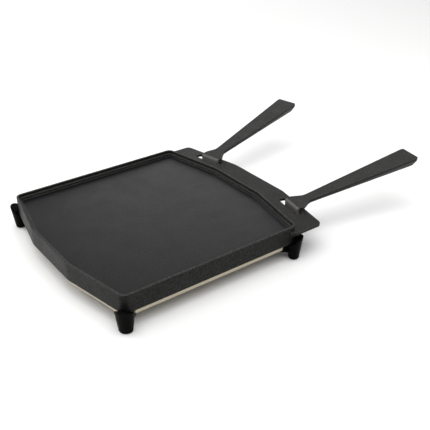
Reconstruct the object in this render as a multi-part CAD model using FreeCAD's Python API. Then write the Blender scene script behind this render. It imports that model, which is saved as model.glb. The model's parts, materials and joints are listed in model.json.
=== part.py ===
import FreeCAD, Part
import os
from math import atan2, cos, degrees, radians, sin, tan

V = FreeCAD.Vector

# Electric griddle: a cast plate with two hooked-in handles on a shallow heated base.
# Millimetres. The model is drawn with x = y = 0 under the middle of the plate and heights from a
# datum just below the table; save() then moves everything so that the origin is on the table under
# the middle of the whole object.
# -Y is the front, the bowed end with no handles; +X is the right-hand long side.

tableZ = 3.0              # the table, in the heights used here

# cast plate
halfWidth = 150.0         # to the outside of each straight long wall
cornerY = 130.0           # half the length of the straight long walls
bow = 20.0                # how far each end bulges beyond its corners
foldX = 50.0              # the two folds of each bowed end
cornerRadius = 9.5
foldRadius = 40.0
rimTop = 52.0
wallHeight = 25.5
rimWidth = 3.0
ledgeDepth = 4.2          # first step of the well, below the rim
ledgeWidth = 3.0
wellDepth = 8.0
floorThick = 5.0
skirtThick = 4.0

# flange that carries the handles
flangeThick = 4.5
flangeOut = 40.0          # beyond the rim's back end
flangeSide = 5.0          # wider than the plate on each side
barWidth = 8.5            # solid strip outside each slot
slotLength = 48.0
slotDepth = 10.5
slotX = 98.0              # where the slot's middle line crosses the flange's edge

# handles
handleRise = 10.7         # degrees above level
handleEnd = 197.2         # from the slot's back edge to the free end, measured level
rootHalf = 17.0
neckY = 24.0              # where the flare has run into the grip
neckHalf = 8.2
endHalf = 18.3
neckThick = 5.4
endThick = 14.0
endSlant = 6.5            # how far the end face leans in
sideBand = 4.0            # upright part of the side, at the end
bevelIn = 5.2
handleEdge = 0.9
hookThick = 3.9
nose = 3.2                # size of the rounding from the grip's top down into the slot
hookGap = 0.4             # hook leg to the slot's back edge, and toe to the bar's underside
restGap = 0.12            # underside of the handle to the top of the bar
toePivot = V(0, 3.5, 37.6)  # middle of the round toe, which the handle tips about
toeRadius = 1.5

# base
panGap = 4.6              # from the plate's outside to the pan's outside
panBottom = 17.5
panTop = 36.0
panThick = 1.0
panCornerCut = 14.5

# corner feet
footSetIn = 2.3           # foot axis, from the plate's corner towards the middle
footAcross = 8.05         # half size across, at the datum, and how much it grows with height
footAcrossGrowth = 0.1225
footOut = 6.6             # the same for half its size outwards
footOutGrowth = 0.139
footTop = 38.0            # the highest point, outside the plate's corner
footSlope = 0.7           # fall of the foot's top, towards the plate
seatZ = 26.3              # the plate's corners sit just above this
tipTop = 8.5
pocketGap = 0.5           # foot to the plate's walls
tongueZ = 17.45
tongueThick = 3.2
tongueEnd = 38.0
footScrewAt = 30.0

# heating
elementRadius = 3.15
elementZ = 31.5
tailZ = 22.3              # level at which the element's ends leave the pan
tailX = 22.0
reflectorZ = 22.8
reflectorThick = 0.8

# control housing under the flange
housingHalf = 52.0
housingBottom = 9.4
housingTop = 37.6
housingBack = 181.0
housingFront = 112.0
housingWall = 2.2
controlZ = 22.0
inletX = -33.0
lampX = 1.0
knobX = 29.0

floorTop = rimTop - wellDepth
floorBottom = floorTop - floorThick
wallBottom = rimTop - wallHeight
flangeTop = floorTop
flangeBottom = flangeTop - flangeThick
facetTurn = degrees(atan2(bow, halfWidth - foldX))


# ---------- shared shape helpers ----------

def unit(vector):
    return V(vector).normalize()


def roundedPath(points, radii, closed):
    """Straight runs joined by tangent arcs, one radius for each point."""
    count = len(points)
    starts, ends, arcs = [], [], []
    for i, point in enumerate(points):
        back = unit(points[i - 1] - point)
        ahead = unit(points[(i + 1) % count] - point)
        isEnd = not closed and i in (0, count - 1)
        if isEnd or radii[i] <= 0 or (back + ahead).Length < 1e-6:
            starts.append(point)
            ends.append(point)
            arcs.append(None)
            continue
        half = back.getAngle(ahead) / 2
        reach = radii[i] / tan(half)
        middle = point + unit(back + ahead) * (radii[i] / sin(half) - radii[i])
        starts.append(point + back * reach)
        ends.append(point + ahead * reach)
        arcs.append(middle)
    edges = []
    for i in range(count):
        if arcs[i] is not None:
            edges.append(Part.Arc(starts[i], arcs[i], ends[i]).toShape())
        last = not closed and i == count - 1
        if not last and (starts[(i + 1) % count] - ends[i]).Length > 1e-4:
            edges.append(Part.makeLine(ends[i], starts[(i + 1) % count]))
    return Part.Wire(edges)


def prism(points, radii, low, high):
    face = Part.Face(roundedPath(points, radii, True))
    face.translate(V(0, 0, low))
    return face.extrude(V(0, 0, high - low))


def insetPoints(points, distance):
    """Corner points of a convex anticlockwise outline moved inwards."""
    lines = []
    for i, point in enumerate(points):
        along = unit(points[(i + 1) % len(points)] - point)
        lines.append((point + V(-along.y, along.x, 0) * distance, along))
    moved = []
    for i in range(len(points)):
        start, along = lines[i - 1]
        other, across = lines[i]
        reach = (other - start).cross(across).z / along.cross(across).z
        moved.append(start + along * reach)
    return moved


def box(x0, x1, y0, y1, z0, z1):
    return Part.makeBox(x1 - x0, y1 - y0, z1 - z0, V(x0, y0, z0))


def rod(radius, start, end):
    return Part.makeCylinder(radius, (end - start).Length, start, end - start)


def tube(points, bend, radius):
    """A round rod or wire along straight runs with one bend radius."""
    path = roundedPath(points, [bend] * len(points), False)
    ring = Part.Wire(Part.makeCircle(radius, points[0], points[1] - points[0]))
    return path.makePipeShell([ring], True, False)


def mirrorX(shape):
    return shape.mirror(V(0, 0, 0), V(1, 0, 0))


def mirrorY(shape):
    return shape.mirror(V(0, 0, 0), V(0, 1, 0))


def edgesAt(shape, height, keep=None):
    """Edges that lie level at one height, optionally only those that keep() accepts."""
    found = []
    for edge in shape.Edges:
        bounds = edge.BoundBox
        if abs(bounds.ZMin - height) < 1e-3 and abs(bounds.ZMax - height) < 1e-3:
            if keep is None or keep(edge):
                found.append(edge)
    return found


def fused(shapes):
    return shapes[0].multiFuse(shapes[1:]).removeSplitter()


# ---------- cast plate ----------

plateCorners = [
    V(-halfWidth, -cornerY, 0), V(-foldX, -cornerY - bow, 0),
    V(foldX, -cornerY - bow, 0), V(halfWidth, -cornerY, 0),
    V(halfWidth, cornerY, 0), V(foldX, cornerY + bow, 0),
    V(-foldX, cornerY + bow, 0), V(-halfWidth, cornerY, 0),
]
plateRadii = [cornerRadius, foldRadius, foldRadius, cornerRadius] * 2


def platePrism(inset, low, high):
    radii = [max(r - inset, 2.0) for r in plateRadii]
    return prism(insetPoints(plateCorners, inset), radii, low, high)


def flangeBlank():
    side = halfWidth + flangeSide
    back = cornerY + flangeOut
    points = [
        V(side, cornerY - 4, 0), V(side, back, 0),
        V(foldX + flangeSide, back + bow, 0), V(-foldX - flangeSide, back + bow, 0),
        V(-side, back, 0), V(-side, cornerY - 4, 0),
        V(-side + 8, cornerY - 12, 0), V(side - 8, cornerY - 12, 0),
    ]
    radii = [3, 8, foldRadius, foldRadius, 8, 3, 0, 0]
    return prism(points, radii, flangeBottom, flangeTop)


def placeAtSlot(shape):
    """Move a shape drawn at the slot (y = 0 on its back edge, y outwards) to the right slot."""
    edgeY = cornerY + flangeOut + (halfWidth + flangeSide - slotX) * tan(radians(facetTurn))
    turn = radians(facetTurn)
    base = V(slotX - barWidth * sin(turn), edgeY - barWidth * cos(turn), 0)
    placed = shape.copy()
    placed.rotate(V(0, 0, 0), V(0, 0, 1), -facetTurn)
    placed.translate(base)
    return placed


def slotCut():
    half = slotLength / 2
    points = [V(-half, -slotDepth, 0), V(half, -slotDepth, 0), V(half, 0, 0), V(-half, 0, 0)]
    return placeAtSlot(prism(points, [2.5] * 4, flangeBottom - 5, flangeTop + 5))


def griddlePlate():
    plate = platePrism(0, wallBottom, rimTop)
    plate = fused([plate, flangeBlank()])
    inner = rimWidth + ledgeWidth
    plate = plate.cut(platePrism(rimWidth, rimTop - ledgeDepth, rimTop + 5))
    plate = plate.cut(platePrism(inner, floorTop, rimTop + 5))
    plate = plate.cut(platePrism(skirtThick, wallBottom - 5, floorBottom))
    plate = plate.cut(slotCut()).cut(mirrorX(slotCut()))
    sensorPad = Part.makeCylinder(16, 1.0, V(0, 0, floorBottom - 1.0))
    plate = fused([plate, sensorPad])

    def inWell(edge):
        bounds = edge.BoundBox
        return bounds.YMax < cornerY + bow - inner + 0.1 and bounds.XMax < halfWidth - inner + 0.1 \
            and bounds.XMin > -halfWidth + inner - 0.1

    def onFlangeEdge(edge):
        middle = edge.valueAt((edge.FirstParameter + edge.LastParameter) / 2)
        return middle.y > cornerY + 30 or abs(middle.x) > halfWidth + 1

    plate = plate.makeFillet(2.0, edgesAt(plate, floorTop, inWell))
    plate = plate.makeFillet(0.9, edgesAt(plate, rimTop))
    plate = plate.makeFillet(0.8, edgesAt(plate, rimTop - ledgeDepth, lambda edge: not touchesWall(edge)))
    plate = plate.makeFillet(1.0, edgesAt(plate, flangeTop, onFlangeEdge))
    plate = plate.makeFillet(1.0, edgesAt(plate, flangeBottom, onFlangeEdge))
    plate = plate.makeFillet(0.8, edgesAt(plate, wallBottom))
    return plate


def touchesWall(edge):
    """True for the ledge's outer line, where the rim's inside wall meets it."""
    middle = edge.valueAt((edge.FirstParameter + edge.LastParameter) / 2)
    wall = platePrism(rimWidth + ledgeWidth / 2, 0, 100)
    return not wall.isInside(V(middle.x, middle.y, 50), 1e-3, True)


# ---------- handles ----------

def handleTopZ(y):
    return rimTop - 2.4 + (y - 8.3) * tan(radians(handleRise))


def handleHalf(y):
    return neckHalf + (endHalf - neckHalf) * (y - neckY) / (handleEnd - neckY)


def handleOutline():
    """Plan of the whole handle: broad root, concave flare, long paddle with rounded end."""
    right = [
        V(rootHalf, -hookThick - hookGap, 0), V(rootHalf, 5.5, 0),
        V(handleHalf(20), 20, 0), V(endHalf, handleEnd, 0),
    ]
    left = [V(-p.x, p.y, 0) for p in reversed(right)]
    radii = [1.5, 5.0, 14.0, 4.5]
    return prism(right + left, radii + radii[::-1], 0, 150)


def handleProfile():
    """Side view: the hook's leg and round toe, the seat on the bar, then the rising grip."""
    front = -hookThick - hookGap
    under = flangeBottom - hookGap
    overBar = flangeTop + restGap
    tip = toePivot
    endIn = handleEnd - endSlant
    pieces = [
        Part.makeLine(V(0, front, tip.z - toeRadius), V(0, tip.y, tip.z - toeRadius)),
        Part.Arc(V(0, tip.y, tip.z - toeRadius), V(0, tip.y + toeRadius, tip.z),
                 V(0, tip.y, under)).toShape(),
        Part.makePolygon([
            V(0, tip.y, under), V(0, -hookGap, under), V(0, -hookGap, flangeTop + 1.3),
            V(0, 5.6, flangeTop + 1.3), V(0, 6.2, overBar), V(0, barWidth + 0.8, overBar),
            V(0, neckY, handleTopZ(neckY) - neckThick), V(0, endIn, handleTopZ(handleEnd) - endThick),
            V(0, handleEnd, handleTopZ(handleEnd)), V(0, front + nose, handleTopZ(front + nose)),
        ]),
        Part.Arc(V(0, front + nose, handleTopZ(front + nose)),
                 V(0, front + 0.3 * nose, handleTopZ(front) - 0.25 * nose),
                 V(0, front, handleTopZ(front) - 0.9 * nose)).toShape(),
        Part.makeLine(V(0, front, handleTopZ(front) - 0.9 * nose), V(0, front, tip.z - toeRadius)),
    ]
    face = Part.Face(Part.Wire([edge for piece in pieces for edge in piece.Edges]))
    face.translate(V(-rootHalf - 5, 0, 0))
    return face.extrude(V(2 * rootHalf + 10, 0, 0))


def underBevel():
    """What leans in under the right side of the grip: nothing at the neck, most at the end."""
    neck = V(handleHalf(neckY), neckY, handleTopZ(neckY) - neckThick)
    upper = V(endHalf, handleEnd, handleTopZ(handleEnd) - sideBand)
    lower = V(endHalf - bevelIn, handleEnd, handleTopZ(handleEnd) - endThick)
    normal = unit((upper - neck).cross(lower - neck))
    if normal.x < 0:
        normal = normal * -1
    block = Part.makeBox(400, 400, 60, V(-200, -200, 0))
    block.Placement = FreeCAD.Placement(neck, FreeCAD.Rotation(V(0, 0, 1), normal))
    return block.common(box(0, 200, neckY, 300, 0, 200))


def handleShape():
    shape = handleOutline().common(handleProfile())
    shape = shape.cut(underBevel()).cut(mirrorX(underBevel()))
    topEdges = []
    for edge in shape.Edges:
        middle = edge.valueAt((edge.FirstParameter + edge.LastParameter) / 2)
        if abs(middle.z - handleTopZ(middle.y)) < 0.05 and middle.y > 0:
            topEdges.append(edge)
    return shape.makeFillet(handleEdge, topEdges)


# ---------- corner feet ----------

def cornerFrame(shape):
    """Move a shape drawn at a corner (x across, y outwards) to the front right corner."""
    placed = shape.copy()
    placed.rotate(V(0, 0, 0), V(0, 0, 1), -135)
    placed.translate(V(halfWidth, -cornerY, 0))
    return placed


def footRing(height):
    """Oval outline of a foot: it grows evenly with height."""
    across = footAcross + footAcrossGrowth * height
    outwards = footOut + footOutGrowth * height
    oval = Part.Ellipse(V(0, -footSetIn, height), across, outwards)
    return Part.Wire(oval.toShape())


def footShape():
    """One foot at the front right corner: tapered oval with a sloping top and a pocket for the plate."""
    body = Part.makeLoft([footRing(tipTop), footRing(footTop)], True, True)
    outerPoint = footOut + footOutGrowth * footTop - footSetIn
    above = box(-40, 40, -80, 40, 0, 60)
    above.rotate(V(0, 0, 0), V(1, 0, 0), degrees(atan2(footSlope, 1)))
    above.translate(V(0, outerPoint, footTop))
    body = body.cut(above)
    body = body.makeFillet(1.2, [edge for edge in body.Edges if edge.BoundBox.ZMin > tipTop + 1])
    pocket = prism(insetPoints(plateCorners, -pocketGap), [3.0, foldRadius, foldRadius, 3.0] * 2, seatZ, 60)
    body = cornerFrame(body).cut(pocket)
    screwHole = rod(2.1, V(0, -footScrewAt, 0), V(0, -footScrewAt, 40))
    tongue = box(-8, 8, -tongueEnd, -footSetIn, tongueZ - tongueThick, tongueZ)
    return fused([body, cornerFrame(tongue)]).cut(cornerFrame(screwHole))


def tipShape():
    tip = Part.makeLoft([footRing(tableZ), footRing(tipTop)], True, True)
    return cornerFrame(tip.makeFillet(2.4, edgesAt(tip, tableZ)))


def footScrew():
    at = V(0, -footScrewAt, 0)
    head = Part.makeCylinder(3.8, 2.2, at + V(0, 0, tongueZ - tongueThick - 2.2))
    head = head.makeFillet(1.2, edgesAt(head, tongueZ - tongueThick - 2.2))
    shank = Part.makeCylinder(1.9, 9.2, at + V(0, 0, tongueZ - tongueThick))
    drive = box(-2.4, 2.4, -footScrewAt - 0.5, -footScrewAt + 0.5, 0, tongueZ - tongueThick - 1.2)
    cross = drive.copy()
    cross.rotate(at, V(0, 0, 1), 90)
    return cornerFrame(fused([head, shank]).cut(drive).cut(cross))


def footNut():
    radius = 4.0
    points = [V(radius * cos(radians(60 * i)), radius * sin(radians(60 * i)) - footScrewAt, 0)
              for i in range(6)]
    nut = prism(points, [0] * 6, panBottom + panThick, panBottom + panThick + 3.0)
    return cornerFrame(nut.cut(rod(1.95, V(0, -footScrewAt, 0), V(0, -footScrewAt, 50))))


def atFourCorners(right):
    """Front right, front left, back right and back left copies of a front right shape."""
    left = mirrorX(right)
    return {
        "front_right": right, "front_left": left,
        "back_right": mirrorY(right), "back_left": mirrorY(left),
    }


# ---------- pan, reflector and heater ----------

def panPoints():
    corners = insetPoints(plateCorners, panGap)
    points = []
    for i, corner in enumerate(corners):
        if i in (0, 3, 4, 7):
            before = unit(corners[i - 1] - corner)
            after = unit(corners[(i + 1) % len(corners)] - corner)
            points.append(corner + before * panCornerCut)
            points.append(corner + after * panCornerCut)
        else:
            points.append(corner)
    return points


def basePan():
    outer = panPoints()
    radii = [4.0] * len(outer)
    pan = prism(outer, radii, panBottom, panTop)
    pan = pan.makeFillet(1.6, edgesAt(pan, panBottom))
    inner = prism(insetPoints(outer, panThick), [3.0] * len(outer), panBottom + panThick, panTop + 5)
    pan = pan.cut(inner)
    back = cornerY + bow
    pan = pan.cut(box(-31, 31, back - panGap - 6, back, panBottom + 1.4, wallBottom - 0.4))
    screwHole = rod(2.2, V(0, -footScrewAt, 0), V(0, -footScrewAt, 50))
    for hole in atFourCorners(cornerFrame(screwHole)).values():
        pan = pan.cut(hole)
    for x, y in housingScrewPlaces():
        pan = pan.cut(rod(1.75, V(x, y, 0), V(x, y, 50)))
    return pan.cut(rod(2.1, V(earthX, earthY, 0), V(earthX, earthY, 50)))


spacerPlaces = [(x, y) for x in (-80.0, 80.0) for y in (-92.0, 68.0)]


def insulationBoard():
    board = box(-118, 118, -122, 98, panBottom + panThick + 0.1, reflectorZ - 0.2)
    for x, y in spacerPlaces:
        board = board.cut(rod(5, V(x, y, 0), V(x, y, 50)))
    return board


def reflector():
    points = [V(-121, -126, 0), V(121, -126, 0), V(121, 102, 0), V(-121, 102, 0)]
    outer = prism(points, [6] * 4, reflectorZ, reflectorZ + 4.5)
    inner = prism(insetPoints(points, reflectorThick), [5.2] * 4, reflectorZ + reflectorThick, 50)
    tray = outer.cut(inner)
    for x, y in spacerPlaces:
        tray = tray.cut(rod(1.7, V(x, y, 0), V(x, y, 50)))
    return tray.cut(box(-12, 12, 98, 106, reflectorZ + 2.0, 50))


def reflectorSpacers():
    low = panBottom + panThick
    return [rod(4, V(x, y, low), V(x, y, reflectorZ)).cut(rod(1.6, V(x, y, 0), V(x, y, 50)))
            for x, y in spacerPlaces]


def reflectorScrews():
    top = reflectorZ + reflectorThick
    screws = []
    for x, y in spacerPlaces:
        head = Part.makeCylinder(3.0, 1.8, V(x, y, top))
        head = head.makeFillet(0.9, edgesAt(head, top + 1.8))
        slot = box(x - 3, x + 3, y - 0.4, y + 0.4, top + 1.0, top + 3)
        screws.append(fused([head, Part.makeCylinder(1.5, 4.6, V(x, y, top - 4.6))]).cut(slot))
    return screws


# the element runs out of the housing, down both sides and twice up the middle
loopX, innerX = 105.0, 42.0
frontRun, backRun, middleRun = -104.0, 84.0, 40.0
tailEnd = cornerY + bow + 3.3


def elementPoints():
    right = [
        V(innerX, middleRun, elementZ), V(innerX, frontRun, elementZ),
        V(loopX, frontRun, elementZ), V(loopX, backRun, elementZ),
        V(tailX, backRun, elementZ), V(tailX, 117, elementZ),
        V(tailX, 132, tailZ), V(tailX, tailEnd, tailZ),
    ]
    left = [V(-p.x, p.y, p.z) for p in reversed(right)]
    return left + right


def heatingElement():
    return tube(elementPoints(), 13.0, elementRadius)


def elementSeals():
    return [Part.makeCone(3.0, 2.4, 3.0, V(x, tailEnd, tailZ), V(0, 1, 0)) for x in (-tailX, tailX)]


def elementPins():
    start = tailEnd + 3.0
    return [rod(1.2, V(x, start, tailZ), V(x, start + 3.6, tailZ)) for x in (-tailX, tailX)]


clipPlaces = [(x, y) for x in (-loopX, -innerX, innerX, loopX) for y in (-60.0, 10.0)]


def elementClips():
    low = reflectorZ + reflectorThick
    clips = []
    for x, y in clipPlaces:
        foot = box(x - 7, x + 7, y - 5, y + 5, low, low + 1)
        upright = box(x - 5, x + 5, y - 0.75, y + 0.75, low, elementZ + 1.5)
        clip = fused([foot, upright])
        seat = rod(elementRadius + 0.1, V(x, y - 9, elementZ), V(x, y + 9, elementZ))
        mouth = box(x - elementRadius - 0.1, x + elementRadius + 0.1, y - 9, y + 9, elementZ, elementZ + 9)
        clips.append(clip.cut(seat).cut(mouth))
    return clips


def sensorSpring():
    """A bowed leaf that presses the sensing bulb up against the plate."""
    low = reflectorZ + reflectorThick
    foot = box(-9, 9, -6, 14, low, low + 0.8)
    upright = box(-5, 5, 13.2, 14, low, 33.5)
    saddle = box(-5, 5, -6, 14, 32.7, 33.5)
    return fused([foot, upright, saddle])


bulbZ = 35.7


def sensorBulb():
    bulb = rod(2.1, V(-22, 0, bulbZ), V(22, 0, bulbZ))
    return bulb.makeFillet(1.2, bulb.Edges)


def capillaryTube():
    return tube([
        V(22.2, 0, bulbZ), V(31, 0, bulbZ), V(31, 0, 26.4), V(31, 60, 26.4), V(6, 80, 26.4),
        V(6, 122, 26.4), V(6, 134, 21.4), V(6, 157.5, 21.4), V(16, 157.5, 14.5), V(16, 160.4, 14.5),
    ], 2.4, 0.8)


def thermalCutout():
    low = reflectorZ + reflectorThick
    x, y = -62.0, 62.0
    flange = box(x - 12, x + 12, y - 4, y + 4, low, low + 0.8)
    cap = Part.makeCylinder(7.5, 5, V(x, y, low))
    body = Part.makeCylinder(6.2, 8, V(x, y, low))
    tabs = [box(x + s * 4 - 1, x + s * 4 + 1, y - 3, y + 3, low + 8, low + 12) for s in (-1, 1)]
    return fused([flange, cap, body] + tabs)


# ---------- control housing ----------

def housingProfile(points, half):
    face = Part.Face(Part.makePolygon([V(-half, y, z) for y, z in points + points[:1]]))
    return face.extrude(V(2 * half, 0, 0))


housingNeck = cornerY + bow - panGap + 2.2     # front of the neck that meets the pan
housingRise = cornerY + bow + 0.7              # front of the tall part, behind the plate's wall


def housingShell():
    wall = housingWall
    neckTop = wallBottom - 0.3
    shell = housingProfile([
        (housingFront, housingBottom), (housingBack, housingBottom), (housingBack, housingTop),
        (housingRise, housingTop), (housingRise, neckTop), (housingNeck, neckTop),
        (housingNeck, panBottom - 0.1), (housingFront, panBottom - 0.1),
    ], housingHalf)
    upright = [edge for edge in shell.Edges
               if abs(edge.BoundBox.YMin - housingBack) < 1e-3 and edge.BoundBox.YLength < 1e-3
               and edge.BoundBox.XLength < 1e-3]
    shell = shell.makeFillet(5.0, upright)
    shell = shell.makeFillet(1.5, edgesAt(shell, housingTop))
    shell = shell.cut(housingProfile([
        (housingFront + wall, housingBottom - 1), (housingBack - wall, housingBottom - 1),
        (housingBack - wall, housingTop - wall), (housingRise + wall, housingTop - wall),
        (housingRise + wall, neckTop - wall), (housingNeck + wall, neckTop - wall),
        (housingNeck + wall, panBottom - 0.1 - wall), (housingFront + wall, panBottom - 0.1 - wall),
    ], housingHalf - wall))
    shell = shell.cut(box(-13, 13, housingNeck - 1, housingRise + wall + 1, panBottom + 1.0, neckTop - wall))
    for x in (-tailX, tailX):
        half = elementRadius + 0.15
        shell = shell.cut(rod(half, V(x, housingNeck - 1, tailZ), V(x, housingRise + 3, tailZ)))
        shell = shell.cut(box(x - half, x + half, housingNeck - 1, housingRise + 3, tailZ, neckTop))
    shell = shell.cut(rod(2.2, V(earthX, earthY, 10), V(earthX, earthY, 30)))
    shell = shell.cut(inletBlank(14.2, 10.5, housingBack - 10, housingBack + 10))
    shell = shell.cut(alongY(4.2, knobX, housingBack - 10, housingBack + 10))
    shell = shell.cut(alongY(4.1, lampX, housingBack - 10, housingBack + 10))
    for x, y in housingScrewPlaces():
        boss = rod(4, V(x, y, housingBottom), V(x, y, panBottom - 0.1 - wall))
        shell = fused([shell, boss])
    for x, y in coverScrewPlaces():
        shell = fused([shell, rod(4, V(x, y, housingBottom), V(x, y, housingTop - wall))])
        shell = shell.cut(rod(1.25, V(x, y, 0), V(x, y, housingBottom + 12)))
    for x, y in housingScrewPlaces():
        shell = shell.cut(rod(1.25, V(x, y, housingBottom + 2), V(x, y, 40)))
    return shell


def alongY(radius, x, y0, y1):
    return rod(radius, V(x, y0, controlZ), V(x, y1, controlZ))


def housingScrewPlaces():
    return [(x, 120.0) for x in (-44.0, 44.0)]


def coverScrewPlaces():
    return [(-46.0, 155.5), (46.0, 155.5)]


def housingBase():
    cover = box(-housingHalf + 0.2, housingHalf - 0.2, housingFront + 0.2, housingBack - 0.2,
                housingBottom - 2.2, housingBottom - 0.1)
    upright = [edge for edge in cover.Edges if edge.BoundBox.ZLength > 2 and edge.BoundBox.YMin > 150]
    cover = cover.makeFillet(5.0, upright)
    for i in range(9):
        y = 118.0 + 3.6 * i
        cover = cover.cut(box(-18, 18, y, y + 1.6, 0, 20))
    for x, y in coverScrewPlaces():
        cover = cover.cut(rod(1.6, V(x, y, 0), V(x, y, 20)))
    return cover


def coverScrews():
    screws = []
    for x, y in coverScrewPlaces():
        low = housingBottom - 2.2
        head = Part.makeCylinder(2.8, 1.6, V(x, y, low - 1.6))
        head = head.makeFillet(0.8, edgesAt(head, low - 1.6))
        slot = box(x - 3, x + 3, y - 0.4, y + 0.4, low - 2, low - 0.9)
        screws.append(fused([head, Part.makeCylinder(1.2, 12, V(x, y, low))]).cut(slot))
    return screws


def housingScrews():
    screws = []
    low = panBottom + panThick
    for x, y in housingScrewPlaces():
        head = Part.makeCylinder(3.0, 1.8, V(x, y, low))
        head = head.makeFillet(0.9, edgesAt(head, low + 1.8))
        slot = box(x - 3, x + 3, y - 0.4, y + 0.4, low + 1.0, low + 3)
        screws.append(fused([head, Part.makeCylinder(1.2, 7.0, V(x, y, low - 7.0))]).cut(slot))
    return screws


def sealPlate():
    """Heat-proof plate between pan and housing, with holes for the element's two ends."""
    y = cornerY + bow - panGap
    plate = box(-33, 33, y + 0.1, housingNeck - 0.1, panBottom + 0.6, wallBottom - 0.5)
    for x in (-tailX, tailX):
        plate = plate.cut(rod(elementRadius + 0.1, V(x, y - 5, tailZ), V(x, y + 9, tailZ)))
    return plate.cut(box(-12, 12, y - 5, y + 9, tailZ - 2.6, tailZ + 2.6))


# ---------- power inlet, thermostat, lamp ----------

pinPlaces = [(inletX - 7.0, controlZ + 2.0), (inletX + 7.0, controlZ + 2.0), (inletX, controlZ - 2.0)]


def inletBlank(halfX, halfZ, y0, y1):
    return box(inletX - halfX, inletX + halfX, y0, y1, controlZ - halfZ, controlZ + halfZ)


def inletBody():
    body = inletBlank(14.0, 10.3, housingBack - 19, housingBack + 0.1)
    bezel = inletBlank(16.5, 12.8, housingBack + 0.1, housingBack + 2.2)
    corners = [edge for edge in bezel.Edges if edge.BoundBox.YLength > 2]
    bezel = bezel.makeFillet(3.0, corners)
    recess = inletBlank(12.0, 8.2, housingBack - 13, housingBack + 5)
    low = [edge for edge in recess.Edges
           if edge.BoundBox.YLength > 10 and edge.BoundBox.ZMin < controlZ]
    recess = recess.makeChamfer(4.0, low)
    inlet = fused([body, bezel]).cut(recess)
    for x, z in pinPlaces:
        inlet = inlet.cut(box(x - 1.03, x + 1.03, housingBack - 30, housingBack, z - 2.03, z + 2.03))
    return inlet


def inletPins():
    return [box(x - 1, x + 1, housingBack - 23, housingBack - 3.2, z - 2, z + 2) for x, z in pinPlaces]


def thermostatBody():
    face = housingBack - housingWall - 0.1
    body = box(knobX - 14, knobX + 14, face - 16, face, controlZ - 10.5, controlZ + 11)
    bush = alongY(4.0, knobX, face, housingBack + 3.4)
    tabs = [box(x - 2.5, x + 2.5, face - 20, face - 16, controlZ + 6, controlZ + 6.8)
            for x in (knobX - 8, knobX + 8)]
    body = fused([body, bush] + tabs)
    return body.cut(alongY(3.05, knobX, face - 10, housingBack + 9))


def thermostatNut():
    radius = 6.4
    points = [V(radius * cos(radians(60 * i)), radius * sin(radians(60 * i)), 0) for i in range(6)]
    nut = prism(points, [0] * 6, 0, 2.2)
    nut.rotate(V(0, 0, 0), V(1, 0, 0), -90)
    nut.translate(V(knobX, housingBack + 0.1, controlZ))
    return nut.cut(alongY(4.05, knobX, housingBack - 5, housingBack + 9))


shaftStart = housingBack - 11.0
shaftEnd = housingBack + 12.0


def controlShaft():
    shaft = alongY(3.0, knobX, shaftStart, shaftEnd)
    flat = box(knobX - 5, knobX + 5, housingBack + 4, shaftEnd + 1, controlZ + 1.5, controlZ + 5)
    return shaft.cut(flat)


def controlKnob():
    start = housingBack + 4.0
    length = 11.5
    skirt = Part.makeCone(13.0, 12.2, length, V(knobX, start, controlZ), V(0, 1, 0))
    skirt = skirt.makeFillet(1.4, [e for e in skirt.Edges if abs(e.BoundBox.YMin - start - length) < 1e-3
                                   and e.BoundBox.YLength < 1e-3])
    for i in range(18):
        angle = radians(20 * i + 10)
        flute = rod(1.1, V(knobX + 13.2 * cos(angle), start + 2.5, controlZ + 13.2 * sin(angle)),
                    V(knobX + 12.6 * cos(angle), start + length + 3, controlZ + 12.6 * sin(angle)))
        skirt = skirt.cut(flute)
    hollow = alongY(8.5, knobX, start - 1, start + 2.5)
    pointerGroove = box(knobX - 0.8, knobX + 0.8, start + length - 0.8, start + length + 1,
                        controlZ + 4, controlZ + 14)
    return skirt.cut(hollow).cut(controlShaft()).cut(pointerGroove)


def knobPointer():
    top = housingBack + 4.0 + 11.5
    return box(knobX - 0.75, knobX + 0.75, top - 0.75, top - 0.1, controlZ + 4.05, controlZ + 10.5)


def lampBody():
    y = housingBack
    body = alongY(3.9, lampX, y - 16, y + 0.1)
    collar = alongY(5.4, lampX, y + 0.1, y + 1.2)
    bore = alongY(2.9, lampX, y - 4, y + 3)
    tabs = [box(lampX + s * 2 - 0.4, lampX + s * 2 + 0.4, y - 21, y - 16, controlZ - 1.4, controlZ + 1.4)
            for s in (-1, 1)]
    return fused([body, collar] + tabs).cut(bore)


def lampLens():
    y = housingBack
    lens = alongY(2.8, lampX, y - 3.8, y + 2.4)
    return lens.makeFillet(1.6, [e for e in lens.Edges if e.BoundBox.YMin > y + 2.3])


# ---------- wiring ----------

earthX, earthY = -38.0, 128.0
terminalX = [-28.0 + 8 * i for i in range(8)]
terminalZ = 12.2


def terminalBlock():
    block = box(-32.5, 32.5, 118, 132, housingBottom - 0.1, 15.1)
    for x in terminalX:
        block = block.cut(rod(2.3, V(x, 121.5, 10), V(x, 121.5, 20)))
        block = block.cut(rod(2.3, V(x, 128.5, 10), V(x, 128.5, 20)))
        block = block.cut(rod(1.3, V(x, 110, terminalZ), V(x, 140, terminalZ)))
    return block


def terminalScrews():
    return [rod(1.9, V(x, y, 13.6), V(x, y, 14.9)) for x in terminalX for y in (121.5, 128.5)]


def earthStud():
    low = panBottom + panThick
    head = Part.makeCylinder(3.6, 2.0, V(earthX, earthY, low))
    head = head.makeFillet(1.0, edgesAt(head, low + 2.0))
    return fused([head, Part.makeCylinder(2.0, 9.0, V(earthX, earthY, low - 9.0))])


def blockEnd(way, y=142.0):
    """The last stretch of a wire into its way of the terminal block."""
    x = terminalX[way]
    return [V(x, y, terminalZ), V(x, 129.5, terminalZ)]


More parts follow.
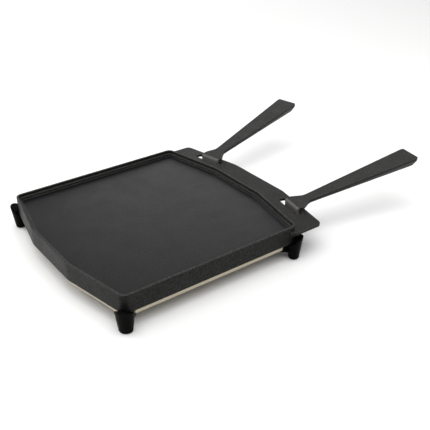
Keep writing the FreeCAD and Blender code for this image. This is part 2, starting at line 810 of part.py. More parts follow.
wireRuns = {
    "live_wire": [V(-40, 157.8, 24), V(-40, 155, 24), V(-40, 155, 13.9),
                  V(-39, 146, 13.9)] + blockEnd(0, 138.0),
    "neutral_wire": [V(-26.4, 157.4, 24), V(-27.4, 155, 24), V(-27.4, 155, terminalZ)] + blockEnd(1),
    "thermostat_wire": [V(21, 157.7, 28.4), V(15, 155, 28.4), V(15, 155, terminalZ)] + blockEnd(6),
    "heater_wire": [V(22, 161.2, 22.3), V(28, 161.2, 18), V(28, 154, terminalZ)] + blockEnd(7),
    "earth_wire": [V(-33, 157.8, 20), V(-33, 155, 20), V(-33, 155, 10.9), V(-38, 146, 10.9),
                   V(-38, 130.4, 10.9)],
}
cutoutRuns = [
    [V(-66, 65.2, 33.6), V(-66, 75, 33.6), V(-66, 75, 26.2), V(-6, 96, 26.2), V(-6, 122, 26.2),
     V(-6, 134, 21.6), V(-6, 155.5, 21.6), V(-6, 155.5, terminalZ)] + blockEnd(3),
    [V(-58, 65.2, 33.6), V(-58, 71.5, 33.6), V(-58, 71.5, 26.2), V(-1.5, 90.6, 26.2), V(-1.5, 122, 26.2),
     V(-1.5, 134, 21.6), V(-1.5, 155.5, 21.6), V(-1.5, 155.5, terminalZ)] + blockEnd(4),
]
lampRuns = [
    [V(-1, 159.8, 22), V(-1, 158, 22), V(-1, 158, 16), V(-12, 158, 12)] + blockEnd(2, 150.0),
    [V(3, 159.8, 22), V(3, 158, 22), V(3, 158, 12)] + blockEnd(5, 150.0),
]


def wires(runs, radius):
    return [tube(run, 1.5, radius) for run in runs]


# ---------- files ----------

def frameShift(shapes):
    """From the plate's middle to the middle of the whole object's footprint."""
    bounds = Part.makeCompound(shapes).BoundBox
    return V(-(bounds.XMin + bounds.XMax) / 2, -(bounds.YMin + bounds.YMax) / 2, -tableZ)


def build():
    handle = placeAtSlot(handleShape())
    pieces = {
        "griddle_plate": [griddlePlate()],
        "right_handle": [handle],
        "left_handle": [mirrorX(handle)],
        "base_pan": [basePan()],
        "insulation_board": [insulationBoard()],
        "reflector": [reflector()],
        "reflector_spacers": reflectorSpacers(),
        "reflector_screws": reflectorScrews(),
        "heating_element": [heatingElement()],
        "element_seals": elementSeals(),
        "element_pins": elementPins(),
        "element_clips": elementClips(),
        "sensor_spring": [sensorSpring()],
        "sensor_bulb": [sensorBulb()],
        "capillary_tube": [capillaryTube()],
        "thermal_cutout": [thermalCutout()],
        "seal_plate": [sealPlate()],
        "housing_shell": [housingShell()],
        "housing_base": [housingBase()],
        "housing_screws": housingScrews(),
        "cover_screws": coverScrews(),
        "inlet_body": [inletBody()],
        "inlet_pins": inletPins(),
        "thermostat_body": [thermostatBody()],
        "thermostat_nut": [thermostatNut()],
        "control_shaft": [controlShaft()],
        "control_knob": [controlKnob()],
        "knob_pointer": [knobPointer()],
        "lamp_body": [lampBody()],
        "lamp_lens": [lampLens()],
        "terminal_block": [terminalBlock()],
        "terminal_screws": terminalScrews(),
        "earth_stud": [earthStud()],
        "foot_screws": list(atFourCorners(footScrew()).values()),
        "foot_nuts": list(atFourCorners(footNut()).values()),
        "cutout_leads": wires(cutoutRuns, 0.8),
        "lamp_leads": wires(lampRuns, 0.6),
    }
    for corner, shape in atFourCorners(footShape()).items():
        pieces[corner + "_foot"] = [shape]
    for corner, shape in atFourCorners(tipShape()).items():
        pieces[corner + "_foot_tip"] = [shape]
    for name, run in wireRuns.items():
        pieces[name] = wires([run], 0.9)
    return pieces


def save(pieces):
    os.makedirs("parts", exist_ok=True)
    everything = [shape for group in pieces.values() for shape in group]
    shift = frameShift(everything)
    print("plate middle at", round(shift.x, 3), round(shift.y, 3))
    for name, group in pieces.items():
        moved = []
        for shape in group:
            for solid in shape.Solids:
                copy = solid.copy()
                copy.translate(shift)
                moved.append(copy)
        out = moved[0] if len(moved) == 1 else Part.makeCompound(moved)
        out.exportStep("parts/" + name + ".step")
        print(name, len(moved), "solids", round(sum(s.Volume for s in moved) / 1000, 2), "cm3",
              "valid" if all(s.isValid() for s in moved) else "INVALID")


save(build())
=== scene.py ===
import bpy
import bmesh
import json
import math
from mathutils import Matrix, Vector, geometry


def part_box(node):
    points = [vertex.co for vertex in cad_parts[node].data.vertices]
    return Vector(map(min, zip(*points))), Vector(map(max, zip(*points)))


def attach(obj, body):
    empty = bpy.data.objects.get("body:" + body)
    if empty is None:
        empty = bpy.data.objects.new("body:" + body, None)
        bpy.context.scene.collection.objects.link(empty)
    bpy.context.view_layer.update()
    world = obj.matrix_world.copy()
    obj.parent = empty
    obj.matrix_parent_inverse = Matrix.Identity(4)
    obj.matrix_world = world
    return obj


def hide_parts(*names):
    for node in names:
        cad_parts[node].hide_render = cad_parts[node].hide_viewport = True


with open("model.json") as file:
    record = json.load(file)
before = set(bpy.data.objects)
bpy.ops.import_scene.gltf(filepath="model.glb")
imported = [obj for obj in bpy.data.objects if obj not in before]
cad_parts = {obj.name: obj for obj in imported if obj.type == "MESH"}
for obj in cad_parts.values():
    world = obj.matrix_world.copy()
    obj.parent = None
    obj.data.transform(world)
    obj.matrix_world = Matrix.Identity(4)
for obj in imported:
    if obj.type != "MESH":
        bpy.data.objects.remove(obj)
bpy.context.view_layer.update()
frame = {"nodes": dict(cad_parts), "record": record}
nodes = frame["nodes"]
print("frame loaded:", len(nodes), "nodes")

mm = 0.001


# sRGB hex to the linear colour that the shaders want
def linear(hexColour):
    channels = [int(hexColour[i:i + 2], 16) / 255 for i in (0, 2, 4)]
    return [c / 12.92 if c <= 0.04045 else ((c + 0.055) / 1.055) ** 2.4 for c in channels] + [1.0]


# texture scale whose features are about this many millimetres across
def perMm(size):
    return 1000.0 / size


# adds one node with its settings and links; stops are a colour ramp's places and colours
def addNode(tree, kind, settings=None, links=None, stops=None):
    node = tree.nodes.new("ShaderNode" + kind)
    for name, value in (settings or {}).items():
        if isinstance(name, int) or name in node.inputs:
            node.inputs[name].default_value = value
        else:
            setattr(node, name, value)
    for name, source in (links or {}).items():
        tree.links.new(source, node.inputs[name])
    if stops:
        ramp = node.color_ramp
        while len(ramp.elements) < len(stops):
            ramp.elements.new(0.5)
        for element, (place, colour) in zip(ramp.elements, stops):
            element.position = place
            element.color = linear(colour)
    return node


def startMaterial(name, shader):
    material = bpy.data.materials.new(name)
    material.use_nodes = True
    tree = material.node_tree
    tree.nodes.clear()
    surface = addNode(tree, "BsdfPrincipled", shader)
    out = addNode(tree, "OutputMaterial", links={"Surface": surface.outputs["BSDF"]})
    out.is_active_output = True
    where = addNode(tree, "TexCoord").outputs["Object"]
    return material, tree, surface, where


# every noise here changes between these values, and is broken up this much
cloud = {"edges": (0.35, 0.65), "breakup": 0.6}


# one noise, and its value read through a ramp between two colours
def patch(tree, where, size, low, high, detail, stretch=None, edges=cloud["edges"]):
    place = where
    if stretch:
        place = addNode(tree, "Mapping", {"Scale": stretch}, {"Vector": where}).outputs["Vector"]
    noise = addNode(tree, "TexNoise", {"Scale": perMm(size), "Detail": detail, "Roughness": cloud["breakup"]},
                    {"Vector": place})
    ramp = addNode(tree, "ValToRGB", links={"Fac": noise.outputs["Fac"]},
                   stops=[(edges[0], low), (edges[1], high)])
    return noise.outputs["Fac"], ramp.outputs["Color"]


# roughness that drifts between two values, as handling and oil leave it
def cloudyGloss(tree, where, size, span, detail):
    noise = addNode(tree, "TexNoise", {"Scale": perMm(size), "Detail": detail, "Roughness": cloud["breakup"]},
                    {"Vector": where})
    reach = addNode(tree, "MapRange", {
        "From Min": cloud["edges"][0], "From Max": cloud["edges"][1], "To Min": span[0], "To Max": span[1],
    }, {"Value": noise.outputs["Fac"]})
    return reach.outputs["Result"]


# joins a finish's colour, gloss and relief to its shader
def dressSurface(tree, surface, colour, gloss, height, strength, depth):
    bump = addNode(tree, "Bump", {"Strength": strength, "Distance": depth * mm}, {"Height": height})
    tree.links.new(colour, surface.inputs["Base Color"])
    tree.links.new(gloss, surface.inputs["Roughness"])
    tree.links.new(bump.outputs["Normal"], surface.inputs["Normal"])


plateLow, plateHigh = (Vector(corner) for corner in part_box("griddle_plate"))
plateHalfLength = 0.150
plateMiddleY = plateLow.y + plateHalfLength

castIron = {
    "ior": 1.47, "plateSpecular": 0.16, "handleSpecular": 0.23,  # dull oil film, handles wiped shinier
    "skinDeep": "080808", "skinPale": "252523",        # as-cast skin, in its pits and on its peaks
    "groundDeep": "08080a", "groundPale": "111114",    # cooking face, blacker with baked oil
    "stain": "d8d6d3", "stainAmount": 0.35, "stainSize": 70.0,
    "roughness": (0.43, 0.50), "glossSize": 30.0, "groundRoughness": 0.31,
    "pebbleSize": 2.4, "gritSize": 1.1, "gritShare": 0.35,
    "relief": 0.8, "pebbleDepth": 1.3, "groundDepth": 0.24,
}
# metres: where the bowed end's fold is, how it slopes beyond it, and where the face ends from the middle
groundFace = {"foldX": 0.050, "bowSlope": 0.2, "endY": 0.147, "below": 0.0073, "leastUp": 0.9}
# painted edge highlight and wear: an edge is painted paler where its rounded normal turns from the true one;
# starts and full are their dot product
edgeWearAndHighlight = {"colour": "6b6967", "width": 1.7, "samples": 4, "starts": 0.995, "full": 0.9}
# painted highlight and polish on each hook's front; slotAt is the middle of the right slot's back edge, in
# metres; from and fade are millimetres off it
hookPolishAndHighlight = {"slotAt": (0.09633, 0.06367), "from": -0.8, "fade": 1.5, "amount": 0.75}


# 1 on the ground cooking face and 0 on the as-cast skin, from where a point is on the plate
def groundFaceMask(tree, where):
    split = addNode(tree, "SeparateXYZ", links={0: where})
    width = addNode(tree, "Math", {"operation": "ABSOLUTE"}, {0: split.outputs["X"]}).outputs[0]
    past = addNode(tree, "Math", {"operation": "SUBTRACT", 1: groundFace["foldX"]}, {0: width}).outputs[0]
    past = addNode(tree, "Math", {"operation": "MAXIMUM", 1: 0.0}, {0: past}).outputs[0]
    end = addNode(tree, "Math", {"operation": "MULTIPLY_ADD", 1: groundFace["bowSlope"]},
                  {0: past, 2: split.outputs["Y"]}).outputs[0]
    inside = addNode(tree, "Math", {"operation": "LESS_THAN", 1: groundFace["endY"] + plateMiddleY},
                     {0: end}).outputs[0]
    low = addNode(tree, "Math", {"operation": "LESS_THAN", 1: plateHigh.z - groundFace["below"]},
                  {0: split.outputs["Z"]}).outputs[0]
    facing = addNode(tree, "SeparateXYZ", links={0: addNode(tree, "NewGeometry").outputs["Normal"]})
    level = addNode(tree, "Math", {"operation": "GREATER_THAN", 1: groundFace["leastUp"]},
                    {0: facing.outputs["Z"]}).outputs[0]
    both = addNode(tree, "Math", {"operation": "MULTIPLY"}, {0: inside, 1: low}).outputs[0]
    return addNode(tree, "Math", {"operation": "MULTIPLY"}, {0: both, 1: level}).outputs[0]


# 1 along edges, painted paler as an edge highlight and as iron rubbed down by cloths and pans, broken up by
# the pebbled skin
def wornAndHighlightedEdges(tree, pebble):
    rounded = addNode(tree, "Bevel", {"Radius": edgeWearAndHighlight["width"] * mm})
    rounded.samples = edgeWearAndHighlight["samples"]
    flat = addNode(tree, "NewGeometry").outputs["Normal"]
    turned = addNode(tree, "VectorMath", {"operation": "DOT_PRODUCT"},
                     {0: rounded.outputs["Normal"], 1: flat})
    edge = addNode(tree, "MapRange", {"From Min": edgeWearAndHighlight["starts"], "From Max": edgeWearAndHighlight["full"]},
                   {"Value": turned.outputs["Value"]})
    return addNode(tree, "Math", {"operation": "MULTIPLY"}, {0: edge.outputs["Result"], 1: pebble}).outputs[0]


# near 1 on the front of each hook: a painted highlight, and polish from sliding on the slot's edge
def hookFrontHighlight(tree, where):
    slope = groundFace["bowSlope"]
    offset = -hookPolishAndHighlight["slotAt"][0] * slope - hookPolishAndHighlight["slotAt"][1]
    split = addNode(tree, "SeparateXYZ", links={0: where})
    width = addNode(tree, "Math", {"operation": "ABSOLUTE"}, {0: split.outputs["X"]}).outputs[0]
    along = addNode(tree, "Math", {"operation": "MULTIPLY_ADD", 1: slope},
                    {0: width, 2: split.outputs["Y"]}).outputs[0]
    away = addNode(tree, "Math", {"operation": "ADD", 1: offset}, {0: along}).outputs[0]
    front = addNode(tree, "MapRange", {
        "From Min": hookPolishAndHighlight["from"] * mm, "From Max": (hookPolishAndHighlight["from"] - hookPolishAndHighlight["fade"]) * mm,
        "To Max": hookPolishAndHighlight["amount"],
    }, {"Value": away})
    return front.outputs["Result"]


# iron cast in sand and seasoned with oil: a pebbled skin under a cloudy oil film, with paler iron painted on
# its edges as highlight and wear, and on handles on the hooks' fronts too. Sand grain is 0.3 mm; it is drawn
# at 1.1 and 2.4 mm so that it shows
def seasonedCastIron(name, hasGroundFace, specular):
    material, tree, surface, where = startMaterial(
        name, {"Specular IOR Level": specular, "IOR": castIron["ior"]})
    pebble, base = patch(tree, where, castIron["pebbleSize"], castIron["skinDeep"], castIron["skinPale"],
                         detail=6.0)
    _, stain = patch(tree, where, castIron["stainSize"], castIron["stain"], "ffffff", detail=4.0)
    gloss = cloudyGloss(tree, where, castIron["glossSize"], castIron["roughness"], detail=5.0)
    grit = addNode(tree, "TexVoronoi", {"Scale": perMm(castIron["gritSize"])}, {"Vector": where})
    height = addNode(tree, "Math", {"operation": "MULTIPLY_ADD", 1: castIron["gritShare"]},
                     {0: grit.outputs["Distance"], 2: pebble}).outputs[0]
    wearAndHighlight = wornAndHighlightedEdges(tree, pebble)
    if hasGroundFace:
        mask = groundFaceMask(tree, where)
        _, ground = patch(tree, where, castIron["gritSize"] * 2, castIron["groundDeep"],
                          castIron["groundPale"], detail=4.0)
        base = addNode(tree, "Mix", {"data_type": "RGBA"}, {0: mask, 6: base, 7: ground}).outputs[2]
        ratio = castIron["groundDepth"] / castIron["pebbleDepth"]
        soften = addNode(tree, "MapRange", {"To Min": 1.0, "To Max": ratio}, {"Value": mask})
        height = addNode(tree, "Math", {"operation": "MULTIPLY"},
                         {0: height, 1: soften.outputs["Result"]}).outputs[0]
        drop = castIron["roughness"][0] - castIron["groundRoughness"]
        gloss = addNode(tree, "Math", {"operation": "MULTIPLY_ADD", 1: -drop}, {0: mask, 2: gloss}).outputs[0]
    else:
        # painted highlight on the front of each hook, with its polish, joins the edge mask
        hook = hookFrontHighlight(tree, where)
        wearAndHighlight = addNode(tree, "Math", {"operation": "MAXIMUM"}, {0: wearAndHighlight, 1: hook}).outputs[0]
    # the painted edge and hook highlights, with wear, mixed in as paler iron
    base = addNode(tree, "Mix", {"data_type": "RGBA", 7: linear(edgeWearAndHighlight["colour"])},
                   {0: wearAndHighlight, 6: base}).outputs[2]
    base = addNode(tree, "Mix", {"data_type": "RGBA", "blend_type": "MULTIPLY", 0: castIron["stainAmount"]},
                   {6: base, 7: stain}).outputs[2]
    dressSurface(tree, surface, base, gloss, height, castIron["relief"], castIron["pebbleDepth"])
    return material


plastic = {"ior": 1.43, "specular": 0.5, "toneSize": 26.0, "glossSize": 15.0, "relief": 0.35,
           "grainDepth": 0.06}


# plastic or rubber from a spark-textured mould: even colour, fine dimples and a faint drift of gloss.
# The dimples are 0.05 mm across; they are drawn at about 1 mm so that they show
def mouldedPlastic(name, deep, pale, roughness, grainSize, **changes):
    kind = dict(plastic, **changes)
    material, tree, surface, where = startMaterial(
        name, {"IOR": kind["ior"], "Specular IOR Level": kind["specular"]})
    _, base = patch(tree, where, kind["toneSize"], deep, pale, detail=6.0)
    gloss = cloudyGloss(tree, where, kind["glossSize"], roughness, detail=4.0)
    grain = addNode(tree, "TexVoronoi", {"Scale": perMm(grainSize)}, {"Vector": where})
    dressSurface(tree, surface, base, gloss, grain.outputs["Distance"], kind["relief"], kind["grainDepth"])
    return material


metal = {"edges": (0.25, 0.75), "bloomAmount": 0.85, "glossSize": 18.0, "relief": 0.3, "lineSize": 1.2,
         "lineDepth": 0.03}


# rolled, drawn or plated metal: marks left by its making, and a bloom where heat or plating tinted it.
# The marks are 0.1 mm across; they are drawn at 1.2 to 1.6 mm so that they show, before any stretch
def workedMetal(name, deep, pale, roughness, stretch=None, lineSize=metal["lineSize"], tint=None):
    material, tree, surface, where = startMaterial(name, {"Metallic": 1.0})
    lines, base = patch(tree, where, lineSize, deep, pale, 4.0, stretch, metal["edges"])
    if tint:
        _, bloom = patch(tree, where, *tint, detail=4.0)
        base = addNode(tree, "Mix", {"data_type": "RGBA", "blend_type": "MULTIPLY", 0: metal["bloomAmount"]},
                       {6: base, 7: bloom}).outputs[2]
    gloss = cloudyGloss(tree, where, metal["glossSize"], roughness, detail=4.0)
    dressSurface(tree, surface, base, gloss, lines, metal["relief"], metal["lineDepth"])
    return material


stone = {"edges": (0.3, 0.7), "glossSize": 9.0, "relief": 0.4, "grainDepth": 0.08}


# pressed board, fired ceramic or dried ink: opaque, with flecks of its own filler. Only the board's
# are as large as this; the others' are drawn at 0.8 and 1.6 mm so that they show
def mineral(name, deep, pale, roughness, grainSize, ior):
    material, tree, surface, where = startMaterial(name, {"IOR": ior})
    grain, base = patch(tree, where, grainSize, deep, pale, detail=6.0, edges=stone["edges"])
    gloss = cloudyGloss(tree, where, stone["glossSize"], roughness, detail=3.0)
    dressSurface(tree, surface, base, gloss, grain, stone["relief"], stone["grainDepth"])
    return material


sleeving = {"bandSize": 10.053, "turn": 0.8, "distortion": 0.6, "deep": "a89f8c", "pale": "e4dfd2",
            "edges": (0.2, 0.8), "roughness": (0.6, 0.8), "glossSize": 5.0, "relief": 0.5, "depth": 0.15,
            "sheen": 0.2, "ior": 1.5}


# woven glass sleeving over wire: crossing bands, cream and slightly silky. The braid is 0.4 mm; it is
# drawn as slow bands of 10 mm, so it reads as drifting light and dark and not as separate strands
def wovenGlassSleeving():
    material, tree, surface, where = startMaterial(
        "wovenGlassSleeving", {"IOR": sleeving["ior"], "Sheen Weight": sleeving["sheen"]})
    heights = []
    for turn in (sleeving["turn"], -sleeving["turn"]):
        turned = addNode(tree, "Mapping", {"Rotation": (0.0, turn, turn)}, {"Vector": where})
        # a wave texture turns 20 radians in each unit of its scale
        scale = perMm(sleeving["bandSize"]) * 2 * math.pi / 20
        wave = addNode(tree, "TexWave", {"Scale": scale, "Distortion": sleeving["distortion"]},
                       {"Vector": turned.outputs["Vector"]})
        heights.append(wave.outputs["Fac"])
    weave = addNode(tree, "Math", {"operation": "MAXIMUM"}, {0: heights[0], 1: heights[1]}).outputs[0]
    tone = addNode(tree, "ValToRGB", links={"Fac": weave}, stops=[
        (sleeving["edges"][0], sleeving["deep"]), (sleeving["edges"][1], sleeving["pale"])])
    gloss = cloudyGloss(tree, where, sleeving["glossSize"], sleeving["roughness"], detail=3.0)
    dressSurface(tree, surface, tone.outputs["Color"], gloss, weave, sleeving["relief"], sleeving["depth"])
    return material


lens = {"ior": 1.585, "clear": 0.6, "deep": "a3160c", "pale": "c92a1c", "toneSize": 2.0,
        "roughness": (0.1, 0.2), "glossSize": 1.5}


# red polycarbonate lens: light goes in and is coloured on the way, so it glows where it is thin
def redPolycarbonate():
    material, tree, surface, where = startMaterial(
        "mouldedRedPolycarbonate", {"IOR": lens["ior"], "Transmission Weight": lens["clear"]})
    _, base = patch(tree, where, lens["toneSize"], lens["deep"], lens["pale"], detail=3.0)
    tree.links.new(base, surface.inputs["Base Color"])
    gloss = cloudyGloss(tree, where, lens["glossSize"], lens["roughness"], detail=3.0)
    tree.links.new(gloss, surface.inputs["Roughness"])
    return material


finishes = {
    "cast_plate": seasonedCastIron("seasonedCastIronPlate", True, castIron["plateSpecular"]),
    "cast_handle": seasonedCastIron("seasonedCastIronHandle", False, castIron["handleSpecular"]),
    # black phenolic from a polished tool: nearly black, with tight dim highlights
    "black_phenolic": mouldedPlastic("polishedBlackPhenolic", "020202", "060606", (0.34, 0.46), 1.2,
                                     ior=1.6, grainDepth=0.03, specular=0.025),
    # silicone rubber: black and dull
    "foot_rubber": mouldedPlastic("mouldedSiliconeRubber", "050505", "0a0a0a", (0.55, 0.7), 1.0,
                                  specular=0.08),
    # pressed stainless: rolled lines 0.13 mm apart along the strip, warm from the mill
    "stainless": workedMetal("coldRolledStainless", "a59d8b", "c4bca8", (0.28, 0.4), (1, 1, 12), 1.6),
    # bright aluminium: lines 1.4 mm apart and 23 mm long across a mirror gone cloudy
    "reflector_aluminium": workedMetal("brightRolledAluminium", "c9cacb", "dcdcdc", (0.22, 0.34),
                                       (0.06, 1, 1), 1.4),
    # zinc plate: pale grey with blue and yellow passivation
    "zinc_steel": workedMetal("zincPlatedSteel", "a9aaa8", "c6c6c2", (0.3, 0.42),
                              tint=(7.0, "d9dbe0", "f0ead8")),
    # heater sheath: brown-black oxide with a violet tinge
    "element_sheath": workedMetal("heatOxidisedNickelSteel", "35342e", "4c473b", (0.45, 0.6),
                                  tint=(24.0, "8f8798", "ffffff")),
    # drawn copper: orange, duller where it has tarnished
    "copper": workedMetal("drawnCopper", "a8603c", "c67f54", (0.25, 0.4), tint=(12.0, "b79a8a", "ffffff")),
    # nickel over brass: warm and bright
    "nickel_brass": workedMetal("nickelPlatedBrass", "b7ab8a", "cfc6aa", (0.2, 0.3)),
    # mica board: straw-coloured with darker flakes
    "fibre_board": mineral("pressedMicaBoard", "8f8876", "b5ad98", (0.55, 0.75), 2.2, 1.58),
    # steatite: cream, half matt
    "ceramic": mineral("firedSteatite", "cdc6b6", "ddd8ca", (0.3, 0.5), 1.6, 1.6),
    # screen ink: flat off-white
    "white_marking": mineral("whiteScreenInk", "d8d8d4", "e6e6e2", (0.5, 0.65), 0.8, 1.5),
    "lamp_red": redPolycarbonate(),
    "glass_sleeving": wovenGlassSleeving(),
}
# silicone lead jackets: soft, half-dull colours in the wiring code
leads = {"Black": ("141414", "1d1d1d"), "Brown": ("4a2a18", "5a3420"), "Blue": ("1f4f9c", "2a5eb0"),
         "Green": ("5f8a1e", "86a52a")}
leadRoughness, leadGrain = (0.45, 0.55), 0.9
for colour, (deep, pale) in leads.items():
    jacket = mouldedPlastic("extrudedSilicone" + colour, deep, pale, leadRoughness, leadGrain)
    finishes["lead_" + colour.lower()] = jacket

slotOf = {part["node"]: part["material_slot"] for part in frame["record"]["subparts"]}
for name, piece in nodes.items():
    for slot in piece.material_slots:
        slot.material = finishes[slotOf[name]]
print("finishes made:", len(finishes))


def keepPiece(name, mesh, body, slotName, smooth=True):
    piece = bpy.data.objects.new(name, mesh)
    bpy.context.collection.objects.link(piece)
    mesh.materials.append(finishes[slotName])
    for face in mesh.polygons:
        face.use_smooth = smooth
    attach(piece, body)
    return piece


# joins two rows of points or corners into a band of four-sided faces
def joinRows(skin, lower, upper):
    for j in range(len(lower)):
        k = (j + 1) % len(lower)
        skin.faces.new((lower[j], lower[k], upper[k], upper[j]))


def keepMesh(skin, name):
    mesh = bpy.data.meshes.new(name)
    bmesh.ops.recalc_face_normals(skin, faces=skin.faces)
    skin.to_mesh(mesh)
    skin.free()
    return mesh


# closes rows of points into a skin, with a face over the first row and the last
def skinOver(name, rows):
    skin = bmesh.new()
    made = [[skin.verts.new(point) for point in row] for row in rows]
    for lower, upper in zip(made, made[1:]):
        joinRows(skin, lower, upper)
    skin.faces.new(list(reversed(made[0])))
    skin.faces.new(made[-1])
    return keepMesh(skin, name)


# rubber tips: the foot's oval carried on down, with moulded ribs and a rounded sole
footTip = {"ovalRatio": 1.17, "taper": 0.925, "soleRound": 2.4, "ribPitch": 1.1, "ribDepth": 0.28,
           "plainTop": 0.5, "rings": 30, "sides": 56}


# how far in from the plain oval the tip's side is, at a height above its sole
def tipInset(z, tall):
    sole = footTip["soleRound"] * mm
    if z < sole:
        return sole - math.sqrt(sole ** 2 - (sole - z) ** 2)
    if z < tall - footTip["plainTop"] * mm:
        wave = math.cos(2 * math.pi * (z - sole) / (footTip["ribPitch"] * mm))
        return footTip["ribDepth"] * mm * (0.5 - 0.5 * wave)
    return 0.0


def mouldFootTip(node):
    low, high = (Vector(corner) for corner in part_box(node))
    middle = (low + high) / 2
    outwards = (high.x - low.x) / 2 * math.sqrt(2 / (1 + footTip["ovalRatio"] ** 2))
    across = outwards * footTip["ovalRatio"]
    diagonal = Vector((math.copysign(1, middle.x), math.copysign(1, middle.y - plateMiddleY), 0)).normalized()
    sideways = Vector((-diagonal.y, diagonal.x, 0))
    tall = high.z - low.z
    rows = []
    for i in range(footTip["rings"] + 1):
        z = tall * i / footTip["rings"]
        factor = footTip["taper"] + (1 - footTip["taper"]) * z / tall
        inset = tipInset(z, tall)
        row = []
        for j in range(footTip["sides"]):
            turn = 2 * math.pi * j / footTip["sides"]
            row.append(Vector((middle.x, middle.y, low.z + z))
                       + sideways * (across * factor - inset) * math.cos(turn)
                       + diagonal * (outwards * factor - inset) * math.sin(turn))
        rows.append(row)
    piece = keepPiece(node + "_ribbed", skinOver(node + "_ribbed", rows), "base", "foot_rubber")
    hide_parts(node)


for node in nodes:
    if node.endswith("_foot_tip"):
        mouldFootTip(node)
print("foot tips moulded")

# swaged bead round the base pan, which stiffens its wall
panBead = {"radius": 0.9, "aboveFloor": 5.2, "proud": 0.45, "sides": 12, "clearOfHousing": 4.0,
           "leastStep": 1.5}


# the outline from one side of the housing round the front to its other side
def openAtHousing(outline):
    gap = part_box("housing_shell")[1][0] + panBead["clearOfHousing"] * mm

    def hidden(point):
        return abs(point.x) < gap and point.y > 0

    def meet(inner, outer):
        return inner + (outer - inner) * (gap - abs(inner.x)) / (abs(outer.x) - abs(inner.x))

    start = next(i for i in range(len(outline)) if hidden(outline[i - 1]) and not hidden(outline[i]))
    ordered = outline[start:] + outline[:start]
    kept = [point for point in ordered if not hidden(point)]
    return [meet(ordered[-1], kept[0])] + kept + [meet(ordered[len(kept)], kept[-1])]


# the pan's outside seen from above, without points too close together
def panOutline():
    points = [Vector(v.co).xy for v in nodes["base_pan"].data.vertices]
    step = panBead["leastStep"] * mm
    outline = []
    for index in geometry.convex_hull_2d(points):
        if not outline or (points[index] - outline[-1]).length > step:
            outline.append(points[index])
    if (outline[0] - outline[-1]).length < step:
        outline.pop()
    return outline


def rollPanBead():
    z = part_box("base_pan")[0][2] + panBead["aboveFloor"] * mm
    outline = openAtHousing(panOutline())
    radius = panBead["radius"] * mm
    last = len(outline) - 1
    rows = []
    for i, point in enumerate(outline):
        along = (outline[min(i + 1, last)] - outline[max(i - 1, 0)]).normalized()
        outward = Vector((along.y, -along.x))
        centre = point + outward * (panBead["proud"] * mm - radius)
        row = []
        for j in range(panBead["sides"]):
            turn = 2 * math.pi * j / panBead["sides"]
            flat = centre + outward * radius * math.cos(turn)
            row.append(Vector((flat.x, flat.y, z + radius * math.sin(turn))))
        rows.append(row)
    keepPiece("base_pan_bead", skinOver("base_pan_bead", rows), "base", "stainless")


rollPanBead()
print("pan bead rolled")

# printed scale behind the knob: longer marks at the stops, shorter ones between
dial = {"inner": 14.2, "long": 2.6, "short": 1.5, "width": 0.7, "thick": 0.12, "marks": 10, "sweep": 270.0,
        "edgeMargin": 0.5, "shortest": 0.8}


# a mark is cut short where the panel ends above or below it
def markLength(i, spoke, above, below):
    length = dial["long"] if i in (0, dial["marks"] - 1) else dial["short"]
    if abs(spoke.z) > 0.01:
        space = (above if spoke.z > 0 else below) / mm - dial["edgeMargin"]
        length = min(length, space / abs(spoke.z) - dial["inner"])
    return length


def printDialScale():
    low, high = (Vector(corner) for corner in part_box("control_knob"))
    centre = (low + high) / 2
    panelLow, panelHigh = (Vector(corner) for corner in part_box("housing_shell"))
    base = Vector((centre.x, panelHigh.y, centre.z))
    lift = Vector((0, dial["thick"] * mm, 0))
    marks = bmesh.new()
    for i in range(dial["marks"]):
        turn = math.radians(dial["sweep"] * i / (dial["marks"] - 1))
        spoke = Vector((-math.sin(turn), 0, math.cos(turn)))
        side = Vector((math.cos(turn), 0, math.sin(turn))) * dial["width"] * mm / 2
        length = markLength(i, spoke, panelHigh.z - centre.z, centre.z - panelLow.z)
        if length < dial["shortest"]:
            continue
        start, end = base + spoke * dial["inner"] * mm, base + spoke * (dial["inner"] + length) * mm
        lower = [marks.verts.new(p) for p in (start - side, start + side, end + side, end - side)]
        upper = [marks.verts.new(v.co + lift) for v in lower]
        marks.faces.new(upper)
        marks.faces.new(list(reversed(lower)))
        joinRows(marks, lower, upper)
    keepPiece("dial_scale", keepMesh(marks, "dial_scale"), "base", "white_marking", smooth=False)


printDialScale()
print("dial scale printed")

floorSheet = {"size": 60.0, "deep": "f8f8f8", "pale": "f8f8f7", "toneSize": 300.0, "ior": 1.45,
              "specular": 0.1, "roughness": 0.9}
sky = {"bright": "ffffff", "dim": "aeaeaf", "edges": (0.15, 0.85), "power": 0.7,
       "dimTowards": (0.90, -0.42, 0.10)}
lamps = {
    "overheadSoftbox": {"at": (0.35, -0.3, 1.6), "size": 1.7, "watts": 22.0},
    "backSoftbox": {"at": (-1.7, 1.15, 0.85), "size": 1.3, "watts": 4.5},
    "leftSoftbox": {"at": (-1.4, -0.9, 0.7), "size": 1.0, "watts": 11.0},
}
shot = {"at": (0.70987, -0.52644, 0.50644), "azimuth": 53.493, "elevation": 29.66, "roll": -0.216,
        "lens": 58.04, "sensor": 36.0}


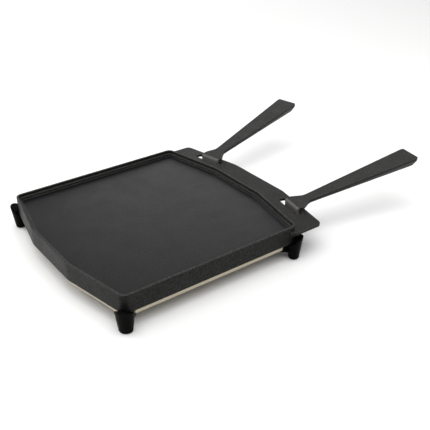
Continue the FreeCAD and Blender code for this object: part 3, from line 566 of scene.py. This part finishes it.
# white paper sweep: matt, so it shows only soft shadows
def pressFloor():
    mesh = bpy.data.meshes.new("paleFloor")
    grid = bmesh.new()
    bmesh.ops.create_grid(grid, x_segments=2, y_segments=2, size=floorSheet["size"] / 2)
    grid.to_mesh(mesh)
    grid.free()
    floor = bpy.data.objects.new("paleFloor", mesh)
    bpy.context.collection.objects.link(floor)
    material, tree, surface, where = startMaterial("mattePaperSweep", {
        "IOR": floorSheet["ior"], "Specular IOR Level": floorSheet["specular"],
        "Roughness": floorSheet["roughness"]})
    _, base = patch(tree, where, floorSheet["toneSize"], floorSheet["deep"], floorSheet["pale"], detail=3.0)
    tree.links.new(base, surface.inputs["Base Color"])
    mesh.materials.append(material)


# white all round, dimmer on one side so that the walls read
def hangSky():
    world = bpy.data.worlds.new("studioSky")
    bpy.context.scene.world = world
    world.use_nodes = True
    tree = world.node_tree
    tree.nodes.clear()
    where = addNode(tree, "TexCoord").outputs["Generated"]
    towards = Vector(sky["dimTowards"]).normalized()
    facing = addNode(tree, "VectorMath", {"operation": "DOT_PRODUCT", 1: towards}, {0: where})
    ramp = addNode(tree, "ValToRGB", links={"Fac": facing.outputs["Value"]},
                   stops=[(sky["edges"][0], sky["bright"]), (sky["edges"][1], sky["dim"])])
    glow = addNode(tree, "Background", {"Strength": sky["power"]}, {"Color": ramp.outputs["Color"]})
    addNode(tree, "OutputWorld", links={"Surface": glow.outputs["Background"]})


def hangLamps():
    for name, lamp in lamps.items():
        data = bpy.data.lights.new(name, "AREA")
        data.size = lamp["size"]
        data.energy = lamp["watts"]
        light = bpy.data.objects.new(name, data)
        light.location = lamp["at"]
        light.rotation_euler = Vector(lamp["at"]).to_track_quat("Z", "Y").to_euler()
        bpy.context.collection.objects.link(light)


def placeCamera():
    data = bpy.data.cameras.new("shotCamera")
    data.sensor_width = shot["sensor"]
    data.lens = shot["lens"]
    camera = bpy.data.objects.new("shotCamera", data)
    aim = Matrix.Rotation(math.radians(shot["azimuth"]), 4, "Z") \
        @ Matrix.Rotation(math.radians(90 - shot["elevation"]), 4, "X") \
        @ Matrix.Rotation(math.radians(shot["roll"]), 4, "Z")
    camera.matrix_world = Matrix.Translation(shot["at"]) @ aim
    bpy.context.collection.objects.link(camera)
    bpy.context.scene.camera = camera


pressFloor()
hangSky()
hangLamps()
placeCamera()
bpy.context.scene.view_settings.view_transform = "Standard"
print("room, light and camera placed")
